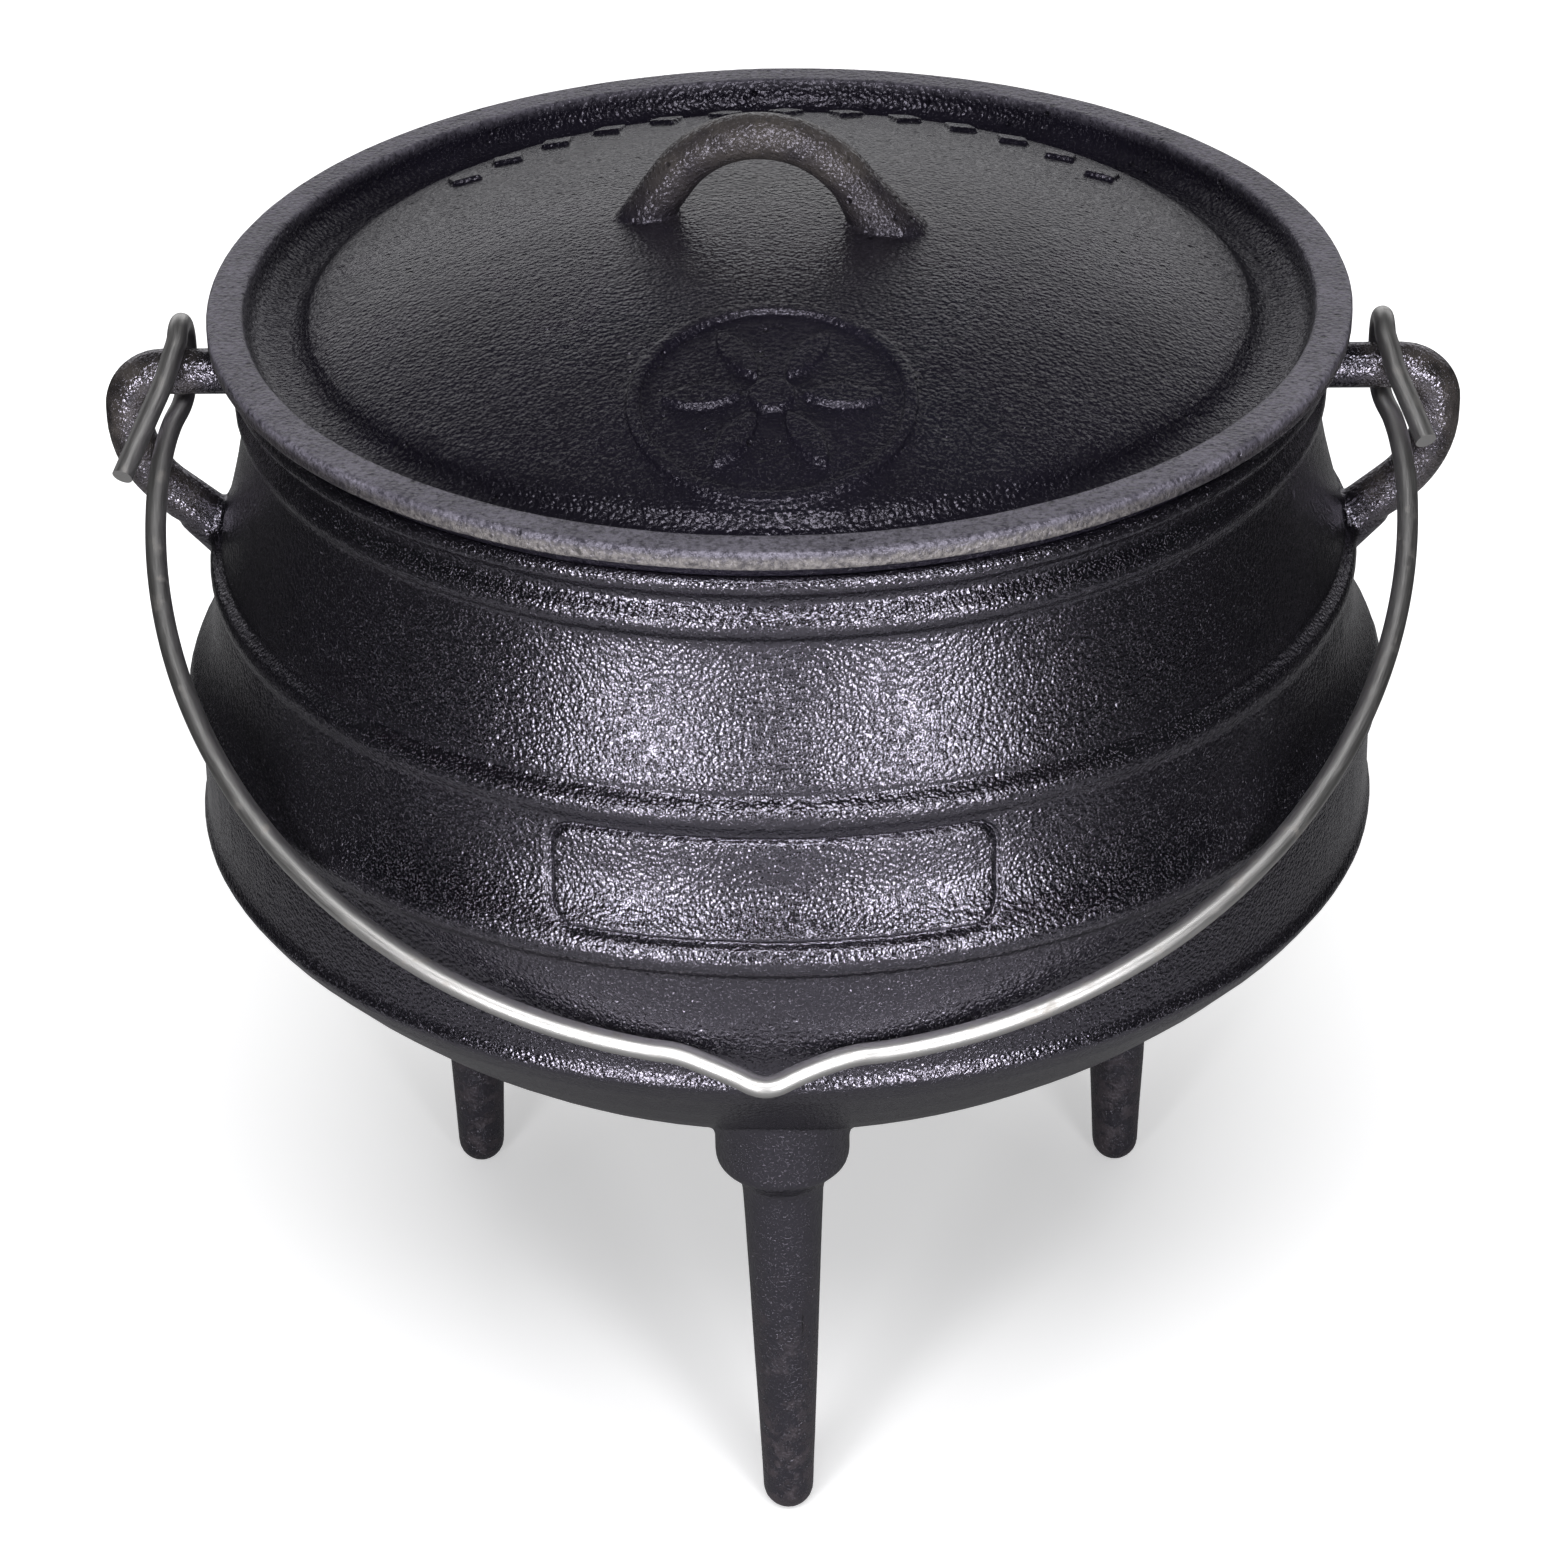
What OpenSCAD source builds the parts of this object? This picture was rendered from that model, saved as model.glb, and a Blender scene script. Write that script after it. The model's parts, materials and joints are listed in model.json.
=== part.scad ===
// Three-legged potjie pot: a cast iron pot with its lid and a swinging wire bail.
// Millimetres, +Z up. The origin is on the floor under the pot's own axis.
// -Y is the front: one leg, the plain panel and the hanging bail are there.

/* [Pot] */
// Outside radius of the rim
rim_r = 131; // [122:1:140]
// Wall thickness of the pot
wall = 5; // [4:0.5:7]
// Outside radius of the wall just above the round bottom
belly_r = 143.8; // [138:0.2:155]
// Radius of the round bottom
bowl_r = 187; // [170:1:230]
// Radius of the turn from the wall into the round bottom
corner_r = 10; // [7:0.5:20]
// Height of the lowest point of the bowl above the floor
ground_gap = 82; // [50:1:120]
// Height from the turn up to the crest of the lower rib
lower_wall_h = 33.4; // [26:0.1:44]
// Height from the lower rib's crest to the middle rib's crest
band_h = 33.5; // [26:0.5:46]
// Height from the middle rib's crest to the neck bead's crest
shoulder_h = 42; // [34:0.5:60]
// Height from the neck bead's crest to the top of the rim
neck_h = 13.3; // [12:0.1:24]
// How far the lower rib stands proud of the wall below it
low_rib_out = 2.2; // [1:0.1:4]
// Radius of the body just above the middle rib
waist_r = 136; // [133:0.5:137]
// How far the middle rib stands proud of the body above it
mid_rib_out = 2.6; // [1:0.1:4]
// How far the neck just under its bead is drawn in behind the rim
neck_in = 3.1; // [2:0.1:7]
// How far the neck bead stands proud
bead_out = 1.9; // [1:0.1:3]

/* [Front panel] */
// Length of the panel, measured straight across
panel_w = 101; // [60:1:120]
// Height of the panel
panel_h = 24.5; // [14:0.5:26]
// Radius of the panel's corners
panel_corner = 6; // [3:0.5:6.5]
// Width of the panel's sunk border
panel_border = 1.6; // [1:0.1:3]
// Depth of the panel's sunk border
panel_sunk = 0.7; // [0.4:0.1:1.2]

/* [Legs] */
// Distance of each leg from the pot's axis
leg_r = 100; // [85:1:115]
// Diameter of the boss at the top of a leg
boss_d = 32; // [26:1:38]
// Length of the boss below the bowl, at the leg's own axis
boss_drop = 8; // [4:0.5:14]
// Diameter of a leg just below its boss
leg_top_d = 20; // [16:0.5:24]
// Diameter of a leg at its foot
leg_foot_d = 12.4; // [10:0.2:16]
// Diameter of the flat that a foot stands on
foot_flat_d = 5; // [4:0.5:8]

/* [Ears] */
// Diameter of the ear's bar
ear_bar_d = 11; // [8:0.5:13]
// Depth of the bar's centre below the top of the rim
ear_drop = 12.8; // [11:0.1:18]
// How far the ears reach out past that room
ear_out = 16.2; // [15:0.1:22]
// Room beside the lid for the bail's hook
hook_room = 11; // [10:0.5:16]
// Centre radius of the ear's outer bend
ear_bend_r = 9; // [8:0.5:11]
// Centre radius of the sweep that brings the ear back to the pot
ear_sweep_r = 25; // [22:0.5:32]
// Angle that the ear's lower arm makes with the vertical
ear_arm_angle = 47; // [40:1:55]
// Diameter of the arm's flared root
ear_root_d = 16; // [13:0.5:22]

/* [Lid] */
// How far the lid's flange reaches past the rim
lid_over = 4; // [2:0.5:8]
// Width of the flange's flat top
flange_w = 8.4; // [6:0.2:10]
// Thickness of the flange's outer edge
flange_edge = 4.7; // [3.5:0.1:6]
// Height of the flange's top above the pot's rim
flange_h = 8.7; // [7.6:0.1:12]
// Thickness of the lid's plate
lid_wall = 5; // [4:0.5:6]
// Height of the trough's floor above the pot's rim
trough_h = 1.4; // [0.8:0.1:2]
// Radius where the dome rises out of the trough
dome_foot_r = 115.5; // [108:0.5:117]
// Radius of the dome's own curve
dome_r = 300; // [260:5:400]
// Gap between the lid's step and the inside of the rim
lid_clear = 0.8; // [0.4:0.1:1.5]

/* [Lid handle] */
// Diameter of the handle's bar
handle_d = 11; // [9:0.5:14]
// Height of the bar's centre above the dome's top
handle_rise = 19.5; // [16:0.5:30]
// Centre radius of the arch
handle_bend_r = 26; // [20:0.5:36]
// Angle through which each side of the arch bends
handle_bend = 55; // [45:1:70]
// Diameter of the slender foot
handle_foot_a = 11.5; // [11:0.5:16]
// Diameter of the flared foot
handle_foot_b = 17; // [12:0.5:20]
// How far the handle stands to the side of the lid's middle
handle_side = -3; // [-6:1:6]
// Turn of the handle about the lid's axis
handle_turn = -7.5; // [-20:0.5:20]

/* [Lid ornament] */
// Outside radius of the plain ring in front of the handle
ring_r = 32.5; // [20:0.5:36]
// Width of the ring
ring_w = 3; // [2:0.5:5]
// Distance of the ring's centre from the lid's axis
ring_at = 77; // [60:1:80]
// Height of the raised ornament above the dome
relief = 1.3; // [0.6:0.1:2]
// Number of petals in the rosette
petals = 6; // [5:1:8]
// Number of lozenges in the arc behind the handle
lozenges = 13; // [7:1:17]
// Radius of the arc of lozenges
lozenge_at = 97; // [80:1:99]
// Angle of the arc of lozenges
lozenge_arc = 108; // [60:2:140]

/* [Bail] */
// Diameter of the bail's wire
wire_d = 5; // [4:0.5:6]
// Gap between the wire and the ear's bar, beside the bar
hook_clear = 1; // [0.6:0.1:1.4]
// Extra room in the hook's loop, beyond the bar
hook_play = 3; // [1:0.5:5]
// Length of the hook's free end past the bar's centre
hook_end = 27; // [15:1:30]
// How much longer the left hook's free end is, as bent
hook_extra = 8; // [0:1:12]
// How far the free end leans outwards
hook_lean = 8; // [4:0.5:9]
// How far each leg of the bail spreads past its hook
leg_splay = 5; // [2:0.2:6]
// Distance from the ears down to where the bail starts its round
bail_drop = 29; // [20:1:50]
// Depth of the dip in the middle of the bail
dip = 7; // [4:0.5:14]
// Half width of the dip
dip_w = 20; // [15:1:30]
// How far the dip lies to the side of the middle, as bent
dip_side = -2; // [-10:1:10]
// Gap between the resting bail and the pot
rest_clear = 0.4; // [0.3:0.1:1]

/* [Hidden] */
$fn = 96;
seam = 0.5;
iron = "#2b2b30";
steel = "#b9b9bb";

// Heights above the floor
bowl_turn = asin((belly_r - corner_r) / (bowl_r - corner_r));
bowl_z = ground_gap + bowl_r;
turn_z = bowl_z - (bowl_r - corner_r) * cos(bowl_turn);
low_rib_z = turn_z + lower_wall_h;
mid_rib_z = low_rib_z + band_h;
bead_z = mid_rib_z + shoulder_h;
rim_z = bead_z + neck_h;
mouth_r = rim_r - wall;
neck_r = rim_r - neck_in;
low_rib_r = belly_r + low_rib_out;
mid_rib_r = waist_r + mid_rib_out;

// Ears: the bar is level, bends down and sweeps back to the shoulder
lid_r = rim_r + lid_over;
ear_z = rim_z - ear_drop;
ear_bar_r = ear_bar_d / 2;
ear_in = min(neck_r, mouth_r) - wall;
ear_tip = max(low_rib_r, lid_r + hook_room) + ear_out;
bend_x = ear_tip - ear_bar_r - ear_bend_r;
sweep_top = ear_z - ear_bend_r - 3;
sweep_x = ear_tip - ear_bar_r - ear_sweep_r;
arm_x = sweep_x + ear_sweep_r * cos(ear_arm_angle);
arm_z = sweep_top - ear_sweep_r * sin(ear_arm_angle);
arm_len = (arm_x - ear_in) / sin(ear_arm_angle);

// Lid: the dome's top, and the radius at which its edge turns down
flange_in = lid_r - flange_w;
lid_step_r = mouth_r - lid_clear;
knee_r = dome_foot_r - 8;
knee_h = trough_h + 6.1;
dome_h = knee_h + dome_r - sqrt(dome_r * dome_r - knee_r * knee_r);

// Bail: distances along its own plane, from the middle of the ear's bar
wire_r = wire_d / 2;
hook_r = ear_bar_r + hook_clear + wire_r;
hook_x = bend_x - 4.3;
bail_r = hook_x + leg_splay;
bail_low = bail_drop + bail_r;
touch_x = dip_w - abs(dip_side);
touch_s = bail_drop + sqrt(bail_r * bail_r - touch_x * touch_x);
touch_y = sqrt(pow(belly_r + wire_r + rest_clear, 2) - touch_x * touch_x);
rest_tilt = acos(touch_y / norm([touch_s, hook_r])) - atan2(hook_r, touch_s);

// Points along an arc in the profile plane
function arc(cx, cy, r, a0, a1, n) =
    [for (i = [0:n]) let (a = a0 + (a1 - a0) * i / n) [cx + r * cos(a), cy + r * sin(a)]];

// Points along a curve that starts at a, leans towards b and ends at c
function bend(a, b, c, n) =
    [for (i = [0:n]) let (t = i / n) (1 - t) * (1 - t) * a + 2 * t * (1 - t) * b + t * t * c];

// The band between the ribs, which the panel's border is sunk into
function band(sunk) = concat(
    bend([low_rib_r - 0.7 - sunk, low_rib_z + 2.7], [mid_rib_r + 1.4 - sunk, low_rib_z + band_h * 0.3],
         [mid_rib_r + 0.2 - sunk, low_rib_z + band_h * 0.56], 6),
    [[waist_r + 1.5 - sunk, mid_rib_z - 4.5]]
);

// The outside of the pot, from the bottom of the bowl to the rim
pot_outside = concat(
    arc(0, bowl_z, bowl_r, -90, -90 + bowl_turn, 12),
    arc(belly_r - corner_r, turn_z, corner_r, -90 + bowl_turn, 0, 5),
    [[belly_r - 0.2, low_rib_z - 5]],
    bend([belly_r + 0.3, low_rib_z - 4], [low_rib_r, low_rib_z - 3.4], [low_rib_r, low_rib_z - 1.2], 3),
    bend([low_rib_r, low_rib_z + 0.4], [low_rib_r, low_rib_z + 1.5], [low_rib_r - 1.3, low_rib_z + 2], 3),
    band(0),
    bend([mid_rib_r, mid_rib_z - 2.5], [mid_rib_r + 0.4, mid_rib_z], [mid_rib_r - 0.6, mid_rib_z + 1.8], 4),
    bend([mid_rib_r - 1, mid_rib_z + 2.2], [waist_r, mid_rib_z + 3.4], [waist_r - 0.5, mid_rib_z + 5.4], 3),
    bend([waist_r - 0.9, mid_rib_z + 7], [neck_r + 1.2, bead_z - 16], [neck_r, bead_z - 3.2], 8),
    bend([neck_r + bead_out - 0.6, bead_z - 2.4], [neck_r + bead_out + 0.6, bead_z],
         [neck_r + bead_out - 0.6, bead_z + 2.4], 4),
    bend([neck_r + 0.2, bead_z + 3.8], [neck_r - 1.2, bead_z + 6], [rim_r - 2.2, rim_z - 5], 4),
    bend([rim_r - 1, rim_z - 4.5], [rim_r, rim_z - 4], [rim_r, rim_z - 3], 2),
    arc(rim_r - 1.8, rim_z - 1.8, 1.8, 0, 90, 4)
);

// The inside of the pot, a wall's thickness in from the body without its ribs
pot_inside = concat(
    arc(0, bowl_z, bowl_r - wall, -90, -90 + bowl_turn, 10),
    arc(belly_r - corner_r, turn_z, corner_r - wall, -90 + bowl_turn, 0, 3),
    [[belly_r - wall, low_rib_z - 2]],
    bend([belly_r - wall - 0.6, low_rib_z + 4], [mid_rib_r - wall, low_rib_z + band_h / 2],
         [waist_r - wall, mid_rib_z], 4),
    bend([waist_r - wall - 0.9, mid_rib_z + 6], [neck_r - wall + 1.2, bead_z - 16],
         [neck_r - wall, bead_z - 3], 5),
    bend([neck_r - wall, bead_z], [neck_r - wall, bead_z + 5], [mouth_r, rim_z - 5], 3)
);

// A round solid from a profile that starts and ends on the axis
module turned(profile, top) {
    rotate_extrude($fn = 180)
        polygon(concat(profile, [[profile[len(profile) - 1][0], top], [0, top]]));
}

// A round bar along +Z whose thickness changes from r1 to r2
module bar(len, r1, r2) {
    cylinder(h = len, r1 = r1, r2 = r2, $fn = 48);
}

// A piece of a ring in the XZ plane, from angle a0 to a1 about its centre
module ring_piece(centre_r, r, a0, a1) {
    rotate([90, 0, 0])
        rotate([0, 0, a0])
            rotate_extrude(angle = a1 - a0, $fn = 96)
                translate([centre_r, 0])
                    circle(r, $fn = 48);
}

// One ear on the +X side: level bar, outer bend, sweep and flared arm
module ear() {
    translate([ear_in, 0, ear_z])
        rotate([0, 90, 0])
            bar(bend_x - ear_in, ear_bar_r, ear_bar_r);
    translate([bend_x, 0, ear_z - ear_bend_r])
        ring_piece(ear_bend_r, ear_bar_r, 0, 90);
    translate([ear_tip - ear_bar_r, 0, sweep_top])
        bar(ear_z - ear_bend_r - sweep_top, ear_bar_r, ear_bar_r);
    translate([sweep_x, 0, sweep_top])
        ring_piece(ear_sweep_r, ear_bar_r, -ear_arm_angle, 0);
    translate([arm_x, 0, arm_z])
        rotate([0, 180 + ear_arm_angle, 0])
            translate([0, 0, -seam])
                bar(arm_len + seam, ear_bar_r - 0.05, ear_root_d / 2);
}

// One leg below the bowl, at its own place on +X: boss, taper and rounded foot
module leg() {
    bowl_over_leg = bowl_z - sqrt(bowl_r * bowl_r - leg_r * leg_r);
    boss_z = bowl_over_leg - boss_drop;
    foot_r = leg_foot_d / 2;
    flat_r = foot_flat_d / 2;
    foot_z = sqrt(foot_r * foot_r - flat_r * flat_r);
    top_r = leg_top_d / 2;
    boss_r = boss_d / 2;
    translate([leg_r, 0, 0])
        rotate_extrude($fn = 64)
            polygon(concat(
                [[0, 0]],
                arc(0, foot_z, foot_r, -acos(flat_r / foot_r), 0, 5),
                [[top_r - 0.3, boss_z - 8]],
                bend([top_r, boss_z - 6], [top_r + 0.4, boss_z - 3], [top_r + 2.4, boss_z - 2], 3),
                bend([boss_r - 2.2, boss_z], [boss_r, boss_z + 0.8], [boss_r, boss_z + 3.4], 3),
                [[boss_r, bowl_over_leg + 12], [0, bowl_over_leg + 12]]
            ));
}

// A flat plate in the front view, as long as the pot is deep, with round corners
module front_plate(w, h, r) {
    rotate([90, 0, 0])
        linear_extrude(low_rib_r + 5)
            union() {
                square([w - 2 * r, h], center = true);
                square([w, h - 2 * r], center = true);
                for (x = [-1, 1], y = [-1, 1])
                    translate([x * (w / 2 - r), y * (h / 2 - r)])
                        circle(r, $fn = 32);
            }
}

// The sunk border of the panel, cut only skin deep into the band between the ribs
module panel_border_cut() {
    panel_z = (low_rib_z + 2.5 + mid_rib_z - 4.5) / 2;
    fit_h = min(panel_h, band_h - 8);
    intersection() {
        translate([0, 0, panel_z])
            difference() {
                front_plate(panel_w, fit_h, panel_corner);
                front_plate(panel_w - 2 * panel_border, fit_h - 2 * panel_border,
                            panel_corner - panel_border + 0.4);
            }
        rotate_extrude($fn = 180)
            polygon(concat(
                band(panel_sunk),
                [[low_rib_r + 4, mid_rib_z - 4.5], [low_rib_r + 4, low_rib_z + 2.7]]
            ));
    }
}

// The pot: one casting with its rim, ribs, ears and legs
module pot() {
    color(iron)
        difference() {
            union() {
                turned(pot_outside, rim_z);
                ear();
                mirror([1, 0, 0]) ear();
                for (a = [-90, 30, 150])
                    rotate([0, 0, a]) leg();
            }
            turned(pot_inside, rim_z + 1);
            panel_border_cut();
        }
}

// The top of the lid, from the dome's middle out to the flange's edge and under it
lid_outside = concat(
    [[0, -lid_wall], [lid_step_r - 1.4, -lid_wall + 1], [lid_step_r, -1], [lid_step_r, 0], [rim_r - 1.5, 0]],
    bend([rim_r - 1.2, 0.4], [rim_r, flange_h - flange_edge - 0.4],
         [lid_r - 1.6, flange_h - flange_edge - 0.2], 5),
    [[lid_r - 0.7, flange_h - flange_edge], [lid_r, flange_h - flange_edge + 0.7], [lid_r, flange_h - 0.9],
     [lid_r - 0.3, flange_h - 0.3], [lid_r - 0.9, flange_h]],
    bend([flange_in + 0.6, flange_h], [flange_in, flange_h], [flange_in - 0.3, flange_h - 0.8], 4),
    bend([flange_in - 1.6, trough_h + 3], [flange_in - 3.2, trough_h], [flange_in - 7, trough_h], 8),
    bend([dome_foot_r + 0.8, trough_h + 0.1], [dome_foot_r - 1.5, trough_h + 0.4],
         [dome_foot_r - 3.4, trough_h + 2.8], 6),
    bend([dome_foot_r - 4.2, trough_h + 3.9], [dome_foot_r - 5.8, trough_h + 5.2], [knee_r, knee_h], 6),
    arc(0, dome_h - dome_r, dome_r, acos((knee_r - 1) / dome_r), 90, 24)
);

// The hollow under the dome
lid_hollow = concat(
    [[0, -lid_wall - 1], [dome_foot_r - 1, -lid_wall - 1], [dome_foot_r - 1, trough_h - lid_wall]],
    arc(0, dome_h - dome_r, dome_r - lid_wall, acos((knee_r - 3) / (dome_r - lid_wall)), 90, 24)
);

// The lid's arched handle with one slender and one flared foot
module handle() {
    straight = handle_rise + 6 - handle_bend_r * (1 - cos(handle_bend));
    limb = straight / sin(handle_bend);
    translate([0, 0, handle_rise - handle_bend_r]) {
        ring_piece(handle_bend_r, handle_d / 2, 90 - handle_bend, 90 + handle_bend);
        rotate([0, 90 - (90 - handle_bend), 0])
            translate([0, 0, handle_bend_r])
                rotate([0, 90, 0])
                    bar(limb, handle_d / 2, handle_foot_b / 2);
        rotate([0, -handle_bend, 0])
            translate([0, 0, handle_bend_r])
                rotate([0, -90, 0])
                    bar(limb, handle_d / 2, handle_foot_a / 2);
    }
}

// Ornament that stands a little proud of the dome and is rooted inside its plate
module raised() {
    intersection() {
        children();
        translate([0, 0, dome_h - dome_r])
            rotate_extrude($fn = 180)
                polygon(concat(
                    arc(0, 0, dome_r - 2, 65, 90, 16),
                    arc(0, 0, dome_r + relief, 90, 65, 16)
                ));
    }
}

// The plain ring with a rosette, in front of the handle
module rosette() {
    petal_out = ring_r - ring_w - 4;
    translate([0, -ring_at, dome_h - 40])
        linear_extrude(60) {
            difference() {
                circle(ring_r, $fn = 96);
                circle(ring_r - ring_w, $fn = 96);
            }
            circle(petal_out / 5, $fn = 32);
            for (i = [0:petals - 1])
                rotate(i * 360 / petals)
                    translate([petal_out * 0.62, 0])
                        intersection() {
                            translate([0, petal_out * 0.42]) circle(petal_out * 0.55, $fn = 48);
                            translate([0, -petal_out * 0.42]) circle(petal_out * 0.55, $fn = 48);
                        }
        }
}

// The arc of plain lozenges behind the handle
module lozenge_band() {
    translate([0, 0, dome_h - 40])
        linear_extrude(60)
            for (i = [0:lozenges - 1])
                rotate(90 + lozenge_arc * (i / (lozenges - 1) - 0.5))
                    translate([lozenge_at, 0])
                        polygon([[-5.5, 0], [0, -4.6], [5.5, 0], [0, 4.6]]);
}

// The lid: one casting with its flange, dome, handle and ornament
module lid() {
    color(iron)
        translate([0, 0, rim_z])
            difference() {
                union() {
                    rotate_extrude($fn = 180)
                        polygon(lid_outside);
                    translate([handle_side, 0, dome_h])
                        rotate([0, 0, handle_turn])
                            handle();
                    raised() rosette();
                    raised() lozenge_band();
                }
                rotate_extrude($fn = 180)
                    polygon(lid_hollow);
            }
}

// The route of the wire in the bail's own plane: x across, s down from the ears,
// w up out of the plane. One half, from the hook's free end to the start of the dip.
function hook_route(extra) = concat(
    [for (i = [0:3]) let (t = i / 4, far = hook_end + extra)
        [hook_x + hook_lean * (1 - t) * far / hook_end, far * (1 - t) + t, hook_r]],
    [[hook_x + 0.8, 1, hook_r]],
    [for (a = [90:10:270]) [hook_x, -hook_play + hook_r * cos(a), hook_r * sin(a)]],
    [[hook_x + 0.5, 3, -hook_r]],
    [for (i = [1:3]) let (t = i / 3) [hook_x + leg_splay * (1 - (1 - t) * (1 - t)), bail_drop * t, -hook_r]]
);
function round_route(to_x) =
    let (a_end = asin(to_x / bail_r))
    [for (i = [1:36]) let (a = 90 - (90 - a_end) * i / 36)
        [bail_r * sin(a), bail_drop + bail_r * cos(a), -hook_r]];
function dip_route() = [
    [dip_side + dip_w * 0.62, bail_low + dip * 0.2, -hook_r],
    [dip_side + dip_w * 0.3, bail_low + dip * 0.62, -hook_r],
    [dip_side + dip_w * 0.12, bail_low + dip * 0.88, -hook_r],
    [dip_side, bail_low + dip * 0.95, -hook_r],
    [dip_side - dip_w * 0.12, bail_low + dip * 0.88, -hook_r],
    [dip_side - dip_w * 0.3, bail_low + dip * 0.62, -hook_r],
    [dip_side - dip_w * 0.62, bail_low + dip * 0.2, -hook_r]
];
function other_side(points) = [for (i = [len(points) - 1:-1:0]) [-points[i][0], points[i][1], points[i][2]]];
bail_route = concat(
    hook_route(0), round_route(dip_side + dip_w),
    dip_route(),
    other_side(concat(hook_route(hook_extra), round_route(dip_w - dip_side)))
);

// From the bail's own plane to the pot's frame, with the bail leaning on the belly
function in_place(p) = [
    p[0],
    -p[1] * cos(rest_tilt) - p[2] * sin(rest_tilt),
    ear_z - p[1] * sin(rest_tilt) + p[2] * cos(rest_tilt)
];

// Rings of the wire, carried along its route without twisting
function unit(v) = v / norm(v);
function along(route, i) = unit(route[min(i + 1, len(route) - 1)] - route[max(i - 1, 0)]);
function carried(route, i, side) = let (t = along(route, i)) unit(side - (side * t) * t);
function sides(route, i = 0, side = [1, 0, 0], done = []) =
    i == len(route) ? done
    : let (next = carried(route, i, side)) sides(route, i + 1, next, concat(done, [next]));

module wire(route, r, n) {
    side = sides(route);
    last = len(route) - 1;
    points = [for (i = [0:last]) let (t = along(route, i), u = side[i], v = cross(t, u))
        for (k = [0:n - 1]) let (a = 360 * k / n) route[i] + r * (cos(a) * u + sin(a) * v)];
    skin = [for (i = [0:last - 1], k = [0:n - 1])
        let (a = i * n + k, b = i * n + (k + 1) % n)
        each [[a, b + n, b], [a, a + n, b + n]]];
    ends = [for (k = [1:n - 2])
        each [[0, k, k + 1], [last * n, last * n + k + 1, last * n + k]]];
    polyhedron(points, concat(skin, ends), convexity = 6);
}

// The bail: one bent wire with a hook at each end
module bail() {
    color(steel)
        wire([for (p = bail_route) in_place(p)], wire_r, 20);
}

pot();
lid();
bail();
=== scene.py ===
"""Dresses the three-legged potjie pot: cast iron pot and lid, and a drawn steel bail."""

import json
import math

import bmesh
import bpy
import numpy as np
from mathutils import Matrix, Vector, noise


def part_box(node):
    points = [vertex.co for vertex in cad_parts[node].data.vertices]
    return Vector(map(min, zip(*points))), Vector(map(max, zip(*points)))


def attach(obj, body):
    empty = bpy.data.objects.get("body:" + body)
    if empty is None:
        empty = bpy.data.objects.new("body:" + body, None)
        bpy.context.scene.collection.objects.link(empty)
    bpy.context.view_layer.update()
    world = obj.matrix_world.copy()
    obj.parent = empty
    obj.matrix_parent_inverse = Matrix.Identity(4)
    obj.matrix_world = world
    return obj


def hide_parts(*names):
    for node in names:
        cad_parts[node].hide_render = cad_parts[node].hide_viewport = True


bl_info = {
    "name": "Potjie Pot",
    "version": (1, 0, 0),
    "blender": (4, 5, 0),
    "location": "View3D > Sidebar > Potjie",
    "description": "Cast iron pot and lid with a swinging wire bail",
    "category": "Object",
}

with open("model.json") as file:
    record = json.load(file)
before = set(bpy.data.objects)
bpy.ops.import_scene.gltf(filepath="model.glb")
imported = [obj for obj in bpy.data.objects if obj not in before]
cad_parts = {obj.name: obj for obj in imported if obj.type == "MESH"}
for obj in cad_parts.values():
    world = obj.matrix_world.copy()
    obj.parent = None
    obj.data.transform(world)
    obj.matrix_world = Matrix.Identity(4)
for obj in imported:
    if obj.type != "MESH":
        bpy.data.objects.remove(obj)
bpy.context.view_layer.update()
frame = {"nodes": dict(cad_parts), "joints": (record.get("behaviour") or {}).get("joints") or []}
HINGE = next(j for j in frame["joints"] if j["name"] == "bail_swing")
PIVOT_Z = HINGE["pos_m"][2]
MM = 0.001
RIM_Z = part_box("pot")[1][2]
LID_R = (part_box("lid")[1][0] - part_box("lid")[0][0]) / 2
HANDLE_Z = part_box("lid")[1][2]


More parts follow.
